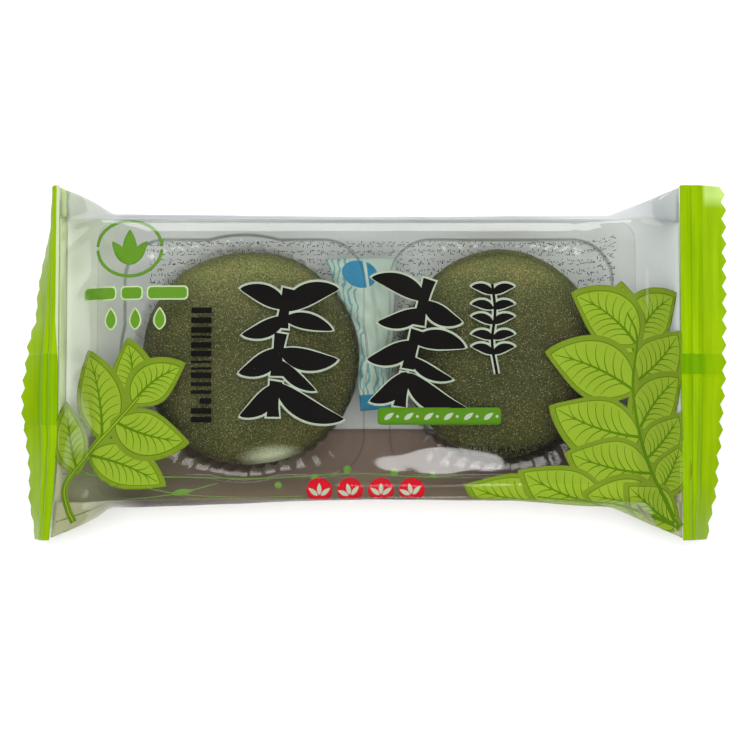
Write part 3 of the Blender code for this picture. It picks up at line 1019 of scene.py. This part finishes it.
# Green-printed film, heat-sealed. u runs out from the tube: deep yellow-green between the ribbed
# jaws with a darker line painted in each valley as shade, paler in the flat strip past them
sealed, tree, place = new_material("green_printed_heat_seal")
x, y, _ = node(tree, "ShaderNodeSeparateXYZ", {0: place}).outputs
uv = node(tree, "ShaderNodeTexCoord").outputs["UV"]
u, v, _ = node(tree, "ShaderNodeSeparateXYZ", {0: uv}).outputs
jaw_greens_and_valley_shade = [
    (at, linear(colour))
    for at, colour in (
        (0.00, "#789b00"), (0.20, "#7da000"), (0.23, "#658700"), (0.26, "#7c9f01"),
        (0.44, "#799c01"), (0.47, "#6a8d00"), (0.50, "#7c9c02"), (0.90, "#7fa004"),
    )
]
along_jaws = node(tree, "ShaderNodeValToRGB", {"Fac": u}, jaw_greens_and_valley_shade)
streaks = node(tree, "ShaderNodeMapping", {"Vector": place, "Scale": (900.0, 60.0, 60.0)})
uneven = node(tree, "ShaderNodeTexNoise", {"Vector": streaks, "Scale": 1.0, "Detail": 3.0})
thick_to_thin = (0.3, (0.86, 0.88, 0.8, 1)), (0.7, (1.14, 1.1, 1.5, 1))
streak = node(tree, "ShaderNodeValToRGB", {"Fac": uneven}, thick_to_thin)
layers = {"Factor": 1.0, 6: along_jaws, 7: streak}
green = node(tree, "ShaderNodeMix", layers, data_type="RGBA", blend_type="MULTIPLY")
on_left, on_right = (x, 0.0, -0.001), (x, 0.0, 0.001)

# The fin seal doubles both layers in a band across it, which the green deepens with, mostly
# between the jaws, and half as much on the left end
fading = {"Value": u, "From Min": 0.49, "From Max": 0.55, "To Min": 0.85, "To Max": 0.35}
doubled = node(tree, "ShaderNodeMapRange", fading)
for on_end, (low, high), most in ((on_left, LEFT_FIN, 0.5), (on_right, RIGHT_FIN, 1.0)):
    band = ((y, low, low + 0.00001), (y, high, high - 0.00001))
    green = toned(tree, green, linear("#5a8800"), on_end, *band, (doubled, 0.0, 1.0), most=most)

# A pale strip runs along the start of the seal on the far half of the left end: partly print that
# starts a little late there, partly a painted highlight along the fold
widening = {"Value": y, "From Min": 0.0, "From Max": 0.008, "To Max": 0.055}
late = node(tree, "ShaderNodeMapRange", widening)
bare_and_lit_strip = node(tree, "ShaderNodeMath", {0: u, 1: late}, operation="LESS_THAN")
green = toned(tree, green, linear("#aeb996"), (bare_and_lit_strip, 0.0, 1.0), on_left)

# The right end's far outer corner is curled, and a pale patch on it is a painted highlight where
# the curl catches the light
corner = ((u, 0.48, 0.56), (v, 0.935, 0.970))
green = toned(tree, green, linear("#c2dc86"), *corner, on_right, most=0.55)
body = node(tree, "ShaderNodeBsdfPrincipled", {
    "Base Color": green,
    "Roughness": 0.30,
    "IOR": 1.25,
    "Specular IOR Level": 0.25,
    "Normal": crinkled(tree, place, 700.0, 0.25, 0.0002, detail=2.0),
})
node(tree, "ShaderNodeOutputMaterial", {"Surface": body})

for name, seal_x, fold, fin_range in (
    ("crimped_end_left", LEFT_SEAL_X, LEFT_FOLD, LEFT_FIN),
    ("crimped_end_right", RIGHT_SEAL_X, RIGHT_CURL, RIGHT_FIN),
):
    end_points, end_faces, end_uv = crimped_end(seal_x, fold, fin_range)
    end = new_piece(name, end_points, end_faces, sealed)
    set_uv(end, end_uv)
    end.data.set_sharp_from_angle(angle=math.radians(60))
    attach(end, "root")

# The front print
# Printed on the inside of the film before it is wrapped: tea leaves in bright green at the lower
# left and down the right, two ink sprigs over the cakes, a flavour bar, four red spots and small
# marks. Places and sizes are in mm of film, as (x, w).
PRINT_DEPTH = 0.00005
PRINT_PITCH = 0.8
LEAF_STEPS = 26
LEAF_BELLY = 0.82
HALO_WIDTH = 0.9
EDGE_WIDTH = 0.20
MIDRIB_WIDTHS = (0.62, 0.16)
MIDRIB_STEPS = 39
VEIN_WIDTHS = (0.26, 0.10)
VEINS_START = 5
VEINS_END = 33
VEIN_PITCH = 4
VEIN_LEAD = 6
VEIN_BOW = 0.12
CORNER_STEPS = 6


def line(start, end, bow, count):
    """Points of a line that bows to its left by a share of its length."""
    start, end = np.array(start, float), np.array(end, float)
    t = np.linspace(0, 1, count)[:, None]
    along = end - start
    return start + along * t + np.array((-along[1], along[0])) * bow * 4 * t * (1 - t)


def smooth_line(knots, count=40):
    """Points of a smooth line through a few knots."""
    knots = np.asarray(knots, float)
    padded = np.vstack((2 * knots[0] - knots[1], knots, 2 * knots[-1] - knots[-2]))
    places = np.linspace(0, len(knots) - 1 - 1e-6, count)
    cell = places.astype(int)
    t = (places - cell)[:, None]
    a, b, c, d = (padded[cell + step] for step in range(4))
    bend, twist = 2 * a - 5 * b + 4 * c - d, 3 * b - a - 3 * c + d
    return 0.5 * (2 * b + (c - a) * t + bend * t ** 2 + twist * t ** 3)


def beside(path):
    """At each point of a path, the direction to its left."""
    run = np.gradient(path, axis=0)
    return np.column_stack((-run[:, 1], run[:, 0])) / np.linalg.norm(run, axis=1, keepdims=True)


def stroke_along(path, widths):
    """Outline of a stroke along a path, as wide as it is told at each point."""
    half = beside(path) * np.broadcast_to(widths, len(path))[:, None] / 2
    return np.vstack((path - half, (path + half)[::-1]))


def stem(knots, start_width, end_width):
    """Outline of a smooth stem through a few knots, from one width to another."""
    path = smooth_line(knots)
    return stroke_along(path, np.linspace(start_width, end_width, len(path)))


def leaf(base, tip, width, bow=0.0, grow=0.0, sharp=0.85):
    """Outline of a pointed leaf from its base to its tip, or of one grown larger all round."""
    base, tip = np.array(base, float), np.array(tip, float)
    run = (tip - base) / np.linalg.norm(tip - base)
    spine = line(base - run * grow, tip + run * grow * 1.3, bow, LEAF_STEPS)
    t = np.linspace(0, 1, LEAF_STEPS)
    half = (width / 2 + grow) * np.sin(math.pi * t ** LEAF_BELLY) ** sharp
    side = beside(spine) * half[:, None]
    return np.vstack((spine - side, (spine + side)[-2:0:-1]))


def disc(middle, radius, count=40):
    """Outline of a round spot."""
    angle = np.arange(count) * 2 * math.pi / count
    return np.column_stack((middle[0] + radius * np.cos(angle), middle[1] + radius * np.sin(angle)))


def bar(low, high, radius):
    """Outline of a bar with rounded corners."""
    angle = np.linspace(0, math.pi / 2, CORNER_STEPS)
    points = []
    for right, up in ((1, 1), (-1, 1), (-1, -1), (1, -1)):
        x, w = (high if right > 0 else low)[0], (high if up > 0 else low)[1]
        for a in angle if right * up > 0 else angle[::-1]:
            in_x, in_w = radius * (1 - math.cos(a)), radius * (1 - math.sin(a))
            points.append((x - right * in_x, w - up * in_w))
    return np.array(points)


def veined_leaf(base, tip, width, bow, inks):
    """A printed leaf: its halo, a drawn edge, its flat fill, a midrib and bowed side veins."""
    halo, line_ink, fill = inks
    shapes = [
        (leaf(base, tip, width, bow, HALO_WIDTH), halo),
        (leaf(base, tip, width, bow), line_ink),
        (leaf(base, tip, width, bow, -EDGE_WIDTH), fill),
    ]
    spine = line(base, tip, bow, 41)
    midrib = stroke_along(spine[:MIDRIB_STEPS], np.linspace(*MIDRIB_WIDTHS, MIDRIB_STEPS))
    shapes.append((midrib, line_ink))
    side = beside(spine)
    for at in range(VEINS_START, VEINS_END, VEIN_PITCH):
        for way in (-1, 1):
            reach = width / 2 * math.sin(math.pi * (at / 40 + 0.14) ** LEAF_BELLY) ** 0.85 * 0.86
            end = spine[at + VEIN_LEAD] + side[at] * way * max(reach, 0.3)
            vein = line(spine[at], end, -VEIN_BOW * way, 6)
            shapes.append((stroke_along(vein, np.linspace(*VEIN_WIDTHS, 6)), line_ink))
    return shapes


def printed(name, shapes, depth=PRINT_DEPTH):
    """A piece of print: flat shapes laid on the film, the later ones over the earlier."""
    inks = list(dict.fromkeys(coat for _, coat in shapes))
    corners, faces = [], []
    for outline, _ in shapes:
        faces.append(list(range(len(corners), len(corners) + len(outline))))
        corners += [Vector(point) for point in outline]
    low, high = np.min(corners, axis=0), np.max(corners, axis=0)
    inner = [
        Vector((x, w))
        for x in np.arange(low[0], high[0], PRINT_PITCH)
        for w in np.arange(low[1], high[1], PRINT_PITCH)
    ]
    flat, _, triangles, _, _, origins = delaunay_2d_cdt(corners + inner, [], faces, 1, 1e-4)
    places = np.array([tuple(point) for point in flat]) / 1000
    inked = [(triangle, max(origin)) for triangle, origin in zip(triangles, origins) if origin]
    used = sorted({corner for triangle, _ in inked for corner in triangle})
    renumbered = {corner: index for index, corner in enumerate(used)}
    faces = [tuple(renumbered[corner] for corner in triangle) for triangle, _ in inked]
    piece = new_piece(name, film(places[used, 0], places[used, 1], depth), faces, *inks)
    coats = [inks.index(shapes[top][1]) for _, top in inked]
    piece.data.polygons.foreach_set("material_index", coats)
    wall = piece.modifiers.new("ink_thickness", "SOLIDIFY")
    wall.thickness = PRINT_THICKNESS
    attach(piece, "root")


leaf_green = ink("bright_leaf_green_ink", "#7e9722", "#879f2c")
halo_green = ink("sheer_leaf_green_ink", "#6f851c", "#778e24", through=0.12)
vein_green = ink("deep_leaf_green_ink", "#4a6c02", "#547702")
leaf_inks = (halo_green, vein_green, leaf_green)

# Tea twig at the lower left: a stem from the seal's lower corner with leaves to both sides
TWIG_LEFT = ((-58.3, -31.0), (-60.2, -25.0), (-56.0, -19.0), (-50.0, -12.5), (-45.5, -7.5))
LEAVES_LEFT = (
    ((-57.6, -21.5), (-60.3, -9.0), 6.2, 0.05),
    ((-55.0, -18.5), (-41.0, -24.0), 7.6, 0.05),
    ((-47.0, -9.0), (-47.6, 3.0), 7.0, -0.06),
    ((-52.5, -15.0), (-55.5, 0.8), 8.6, -0.05),
    ((-50.0, -12.0), (-36.6, -15.8), 8.2, -0.06),
    ((-46.5, -8.5), (-37.2, -1.6), 7.0, 0.08),
)
twig = [(stem(TWIG_LEFT, 1.2, 1.5), halo_green)]
for base, tip, width, bow in LEAVES_LEFT:
    twig += veined_leaf(base, tip, width, bow, leaf_inks)
twig += [(stem(TWIG_LEFT, 0.75, 0.70), vein_green), (stem(TWIG_LEFT, 0.30, 0.25), leaf_green)]
printed("leaf_print_left", twig)

# Tea branch down the right side, and a spray of it along the near edge, over the shoulder
TWIG_RIGHT = ((59.3, -31.5), (54.5, -24.0), (51.0, -15.0), (49.5, -5.0), (50.5, 4.0), (48.5, 9.0))
SPRAY_RIGHT = ((58.5, -31.0), (50.0, -29.5), (40.0, -28.0), (31.0, -26.5))
LEAVES_RIGHT = (
    ((50.0, 1.0), (47.6, 14.0), 8.0, 0.05),
    ((50.2, 3.5), (58.6, 12.9), 8.6, 0.08),
    ((50.2, 3.0), (38.4, 12.0), 9.6, -0.08),
    ((49.8, -4.5), (59.5, 5.4), 9.2, -0.06),
    ((49.6, -6.0), (33.4, 0.8), 10.8, -0.06),
    ((50.8, -13.5), (59.6, -3.2), 8.6, 0.06),
    ((51.0, -15.0), (34.2, -9.4), 11.2, 0.06),
    ((52.0, -19.5), (59.6, -11.0), 7.6, -0.04),
    ((55.0, -25.5), (59.6, -17.0), 6.8, -0.06),
    ((53.5, -22.0), (37.2, -18.2), 10.8, 0.05),
    ((34.0, -27.4), (18.0, -24.4), 9.0, 0.07),
    ((44.5, -28.6), (28.2, -21.8), 10.0, 0.05),
    ((55.0, -30.5), (40.4, -26.2), 10.2, -0.04),
    ((58.8, -31.2), (48.5, -24.4), 8.4, 0.06),
)
branch = [(stem(TWIG_RIGHT, 2.2, 1.4), halo_green)]
for base, tip, width, bow in LEAVES_RIGHT:
    branch += veined_leaf(base, tip, width, bow, leaf_inks)
branch += [(stem(knots, 0.9, 0.35), vein_green) for knots in (TWIG_RIGHT, SPRAY_RIGHT)]
printed("leaf_print_right", branch)

# Two ink sprigs and a small one, brushed in black with a pale rim where the black overlaps white
RIM = 0.36
STALK_WIDTH = 2.5
STALK_WAIST = 0.6
STALK_BOW = 0.02
STALK_STEPS = 12
rim_white = ink("pale_rim_ink", "#9ba694", "#a5af9e")
STALKS = (
    (((-19.6, -11.2), (-19.0, -4.4)), ((-18.9, -3.4), (-18.1, 4.8)), ((-17.9, 5.8), (-16.6, 13.4))),
    (((4.6, -9.2), (6.0, -3.0)), ((6.2, -2.0), (8.0, 5.4)), ((8.2, 6.4), (10.4, 15.2))),
)
BRUSHED_LEAVES = (
    ((-17.4, 9.6), (-26.0, 13.4), 3.7, -0.10),
    ((-17.2, 9.2), (-7.0, 13.4), 4.2, 0.12),
    ((-17.6, 8.0), (-25.6, 4.6), 3.2, 0.10),
    ((-17.4, 7.6), (-8.2, 5.4), 3.1, 0.06),
    ((-18.4, 1.8), (-26.2, -2.8), 3.9, 0.10),
    ((-18.2, 1.6), (-7.2, -0.2), 4.1, -0.10),
    ((-19.0, -4.8), (-26.0, -11.0), 3.7, 0.12),
    ((-18.8, -4.8), (-6.0, -11.6), 4.3, -0.12),
    ((-18.4, -0.4), (-11.4, -6.2), 2.6, -0.08),
    ((9.4, 11.2), (-0.8, 15.6), 3.8, -0.10),
    ((9.6, 11.0), (16.6, 7.0), 3.6, -0.12),
    ((8.8, 9.4), (0.4, 7.0), 3.2, 0.10),
    ((7.2, 3.2), (-1.6, -0.2), 3.8, 0.10),
    ((7.4, 3.2), (17.2, 2.0), 3.8, 0.10),
    ((6.0, -2.6), (-1.2, -8.2), 3.6, 0.12),
    ((6.2, -2.8), (17.8, -9.8), 4.4, -0.14),
    ((6.8, 0.2), (14.8, -4.0), 2.6, -0.10),
)
SMALL_STEM = ((22.4, 14.4), (22.9, 9.0), (22.3, 3.0), (23.2, -3.0))
SMALL_LEAVES = tuple(
    ((22.5, foot), (22.5 + way * 4.1, foot + lift), 1.7, 0.12 * way)
    for foot, lift in ((12.4, 1.4), (9.5, 0.9), (6.6, 1.4), (3.7, 0.9), (0.8, 1.4))
    for way in (-1, 1)
)
brushed = []
for rim, coat in ((RIM, rim_white), (0.0, black_ink)):
    for low, high in (part for stalk in STALKS for part in stalk):
        ends = line(low, high, STALK_BOW, STALK_STEPS)
        if rim:
            reach = (ends[-1] - ends[0]) / np.linalg.norm(ends[-1] - ends[0]) * rim
            ends = line(ends[0] - reach, ends[-1] + reach, STALK_BOW, STALK_STEPS)
        along_stalk = math.pi * np.linspace(0, 1, STALK_STEPS)
        widths = STALK_WIDTH - STALK_WAIST * np.sin(along_stalk)
        brushed.append((stroke_along(ends, widths + 2 * rim), coat))
    for base, tip, width, bow in BRUSHED_LEAVES + SMALL_LEAVES:
        brushed.append((leaf(base, tip, width, bow, rim, sharp=0.7), coat))
    brushed.append((stroke_along(smooth_line(SMALL_STEM), 0.55 + 2 * rim), coat))
printed("ink_sprig_print", brushed, PRINT_DEPTH + 0.00002)

# A stack of black bars of uneven thickness, beside the left sprig, from its top to its foot
STACK_TOP = 9.8
STACK_FOOT = -12.6
STACK_RIGHT = -31.4
stack_rng = np.random.default_rng(7)
bars = []
stack_w = STACK_TOP
while stack_w > STACK_FOOT:
    thick = stack_rng.choice((0.45, 0.7, 1.1))
    left_end = stack_rng.choice((-35.3, -35.3, -33.6))
    bars.append((bar((left_end, stack_w - thick), (STACK_RIGHT, stack_w), 0.12), black_ink))
    stack_w -= thick + stack_rng.choice((0.55, 0.8))
printed("code_bars_print", bars)

# Three leaves in a broken ring, bars and buds at the upper left: plain shapes in mid green, the
# bars and buds with a pale rim
RING_MIDDLE = (-47.4, 21.4)
RING_RADII = (6.3, 5.4)
RING_GAP = 0.06
mid_green = ink("mid_green_ink", "#547f20", "#5e8a28")
sheer_rim = ink("sheer_pale_rim_ink", "#c5d8a8", "#cbdcb2", through=0.25)
corner_marks = []
for start in (0.0, math.pi):
    angle = np.linspace(start + RING_GAP, start + math.pi - RING_GAP, 36)
    ring = RING_MIDDLE + RING_RADII * np.column_stack((np.cos(angle), np.sin(angle)))
    corner_marks.append((stroke_along(ring, 0.62), mid_green))
for tip, width in (((-47.4, 25.2), 2.9), ((-50.9, 22.8), 2.3), ((-43.9, 22.8), 2.3)):
    corner_marks.append((leaf((-47.4, 18.2), tip, width), mid_green))
for low_x, high_x in ((-56.4, -50.2), (-48.9, -45.0), (-43.7, -36.2)):
    corner_marks.append((bar((low_x - 0.3, 11.3), (high_x + 0.3, 14.1), 0.9), sheer_rim))
    corner_marks.append((bar((low_x, 11.6), (high_x, 13.8), 0.7), mid_green))
for bud_x in (-51.0, -46.2, -41.4):
    corner_marks.append((leaf((bud_x, 5.8), (bud_x, 9.6), 1.9, 0.0, 0.3), sheer_rim))
    corner_marks.append((leaf((bud_x, 5.8), (bud_x, 9.6), 1.9), mid_green))
printed("corner_marks_print", corner_marks)

# The flavour bar, with small pale leaves and dots on it
FLAVOUR_BAR = ((0.4, -12.7), (24.0, -9.4))
FLAVOUR_MARKS = 6
FIRST_MARK_X = 2.6
MARK_PITCH = 3.8
bar_green = ink("flavour_bar_green_ink", "#477411", "#517f19")
flavour = [(bar(*FLAVOUR_BAR, 0.7), bar_green)]
for mark in range(FLAVOUR_MARKS):
    mark_x = FIRST_MARK_X + mark * MARK_PITCH
    flavour.append((leaf((mark_x - 0.9, -11.7), (mark_x + 0.9, -10.4), 0.9), rim_white))
    flavour.append((disc((mark_x + 1.6, -11.1), 0.28, 12), rim_white))
printed("flavour_bar_print", flavour)

# Four red spots on the near edge, each with three pale leaves
SPOTS = 4
FIRST_SPOT = (-10.75, -25.3)
SPOT_PITCH = 5.9
SPOT_RADIUS = 2.5
spot_red = ink("spot_red_ink", "#ae0d1d", "#b91625")
spots_print = []
for spot in range(SPOTS):
    middle = np.array((FIRST_SPOT[0] + SPOT_PITCH * spot, FIRST_SPOT[1]))
    spots_print.append((disc(middle, SPOT_RADIUS), spot_red))
    for turn_by in (-50, 0, 50):
        angle = math.radians(90 + turn_by + 12 * (spot % 2))
        reach = np.array((math.cos(angle), math.sin(angle)))
        foot = middle + np.array((0, -1.2))
        spots_print.append((leaf(foot + 0.4 * reach, foot + 2.7 * reach, 0.85), rim_white))
printed("red_spots_print", spots_print)

# A row of small black strokes above the near edge
ROW_START = (15.8, -17.9)
ROW_CELLS = 10
CELL_PITCH = 1.88
STROKES_A_CELL = 4
STROKE_WIDTH = 0.16
row_rng = np.random.default_rng(12)
fine_row = []
for cell in range(ROW_CELLS):
    cell_x = ROW_START[0] + CELL_PITCH * cell
    for _ in range(STROKES_A_CELL):
        right, up = row_rng.uniform(0, 0.9), row_rng.uniform(-0.5, 0.5)
        start = np.array((cell_x + right, ROW_START[1] + up))
        span = np.array((0.75, 0.0)) if row_rng.random() < 0.5 else np.array((0.0, 0.85))
        fine_row.append((stroke_along(line(start, start + span, 0, 2), STROKE_WIDTH), black_ink))
printed("fine_row_print", fine_row)

# A fine vine with round buds along the near rim, in sheer green
vine_green = ink("sheer_vine_green_ink", "#6f9344", "#789c4c", through=0.35)
VINES = (
    ((-60.8, -22.2), (-40.0, -22.6), (-22.0, -22.9), (-4.0, -22.0), (8.0, -22.6), (17.0, -22.3)),
    ((-60.8, -20.8), (-51.0, -23.0), (-38.0, -25.9), (-24.0, -26.7), (-14.0, -26.4)),
    ((-61.5, -30.5), (-54.0, -29.0), (-47.0, -27.2), (-38.0, -25.9), (-30.0, -23.8)),
)
BUDS = (
    (-52.6, -22.0, 0.85),
    (-18.6, -24.2, 0.7),
    (-11.6, -22.8, 0.8),
    (-5.4, -21.2, 0.8),
    (3.6, -21.7, 0.85),
    (10.8, -22.0, 0.6),
)
vine = [(stroke_along(smooth_line(knots, 60), 0.2), vine_green) for knots in VINES]
vine += [(disc((bud_x, bud_w), radius, 20), vine_green) for bud_x, bud_w, radius in BUDS]
vine.append((leaf((-39.0, -26.0), (-34.8, -25.2), 1.3), vine_green))
printed("vine_print", vine, PRINT_DEPTH + 0.00004)

# The light, floor and camera
# White paper under the pack, soft light all round, and a camera from above. A window-like panel
# beyond it shows along the film's far shoulder, and a small near one as the glare on the right.
floor_paper, tree, place = new_material("matt_white_paper")
matt = node(tree, "ShaderNodeBsdfPrincipled", {"Base Color": linear("#fbfbfb"), "Roughness": 0.9})
node(tree, "ShaderNodeOutputMaterial", {"Surface": matt})
floor_corners = [(-3, -3, 0), (3, -3, 0), (3, 3, 0), (-3, 3, 0)]
floor = new_piece("floor", floor_corners, [(0, 1, 2, 3)], floor_paper, smooth=False)

# Each lamp's name, place, width and height, power in watts, and whether gloss mirrors it
LAMPS = (
    ("far_key", (0.0, 0.42, 0.50), (0.95, 0.24), 1.2, False),
    ("far_window", (0.0, 0.55, 0.38), (0.50, 0.40), 1.9, True),
    ("overhead_fill", (0.0, 0.05, 1.20), (1.2, 1.2), 14.0, False),
    ("near_fill", (0.0, -0.60, 0.65), (0.90, 0.30), 3.6, False),
    ("left_fill", (-0.70, -0.10, 0.45), (0.25, 0.60), 0.9, False),
    ("right_fill", (0.70, -0.10, 0.45), (0.25, 0.60), 0.9, False),
    ("near_panel", (0.024, -0.205, 0.60), (0.062, 0.12), 0.115, True),
)
for name, at, size, power, mirrored in LAMPS:
    data = bpy.data.lights.new(name, "AREA")
    data.shape = "RECTANGLE"
    data.size, data.size_y = size
    data.energy = power
    light = bpy.data.objects.new(name, data)
    light.location = at
    light.rotation_euler = (-Vector(at)).to_track_quat("-Z", "Y").to_euler()
    light.visible_glossy = mirrored
    bpy.context.scene.collection.objects.link(light)

world = bpy.data.worlds.new("dim_studio")
world.use_nodes = True
background = world.node_tree.nodes["Background"].inputs
background["Color"].default_value = linear("#f4f7ff")
background["Strength"].default_value = 0.03
bpy.context.scene.world = world

# The camera looks almost straight down from a hand's height, tipped towards the near side
LOOKS_AT = Vector((TO_MIDDLE - 0.0001, -0.0026, 0.0090))
CAMERA_DISTANCE = 0.350
CAMERA_ELEVATION = math.radians(86.6)
CAMERA_VIEW = math.radians(23.8)
towards_camera = Vector((0, -math.cos(CAMERA_ELEVATION), math.sin(CAMERA_ELEVATION)))
camera = bpy.data.objects.new("camera", bpy.data.cameras.new("camera"))
camera.data.angle = CAMERA_VIEW
camera.data.clip_start = 0.01
camera.location = LOOKS_AT + towards_camera * CAMERA_DISTANCE
camera.rotation_euler = (-towards_camera).to_track_quat("-Z", "Y").to_euler()
bpy.context.scene.collection.objects.link(camera)
bpy.context.scene.camera = camera
bpy.context.scene.view_settings.view_transform = "Standard"
bpy.context.scene.cycles.transparent_max_bounces = 32
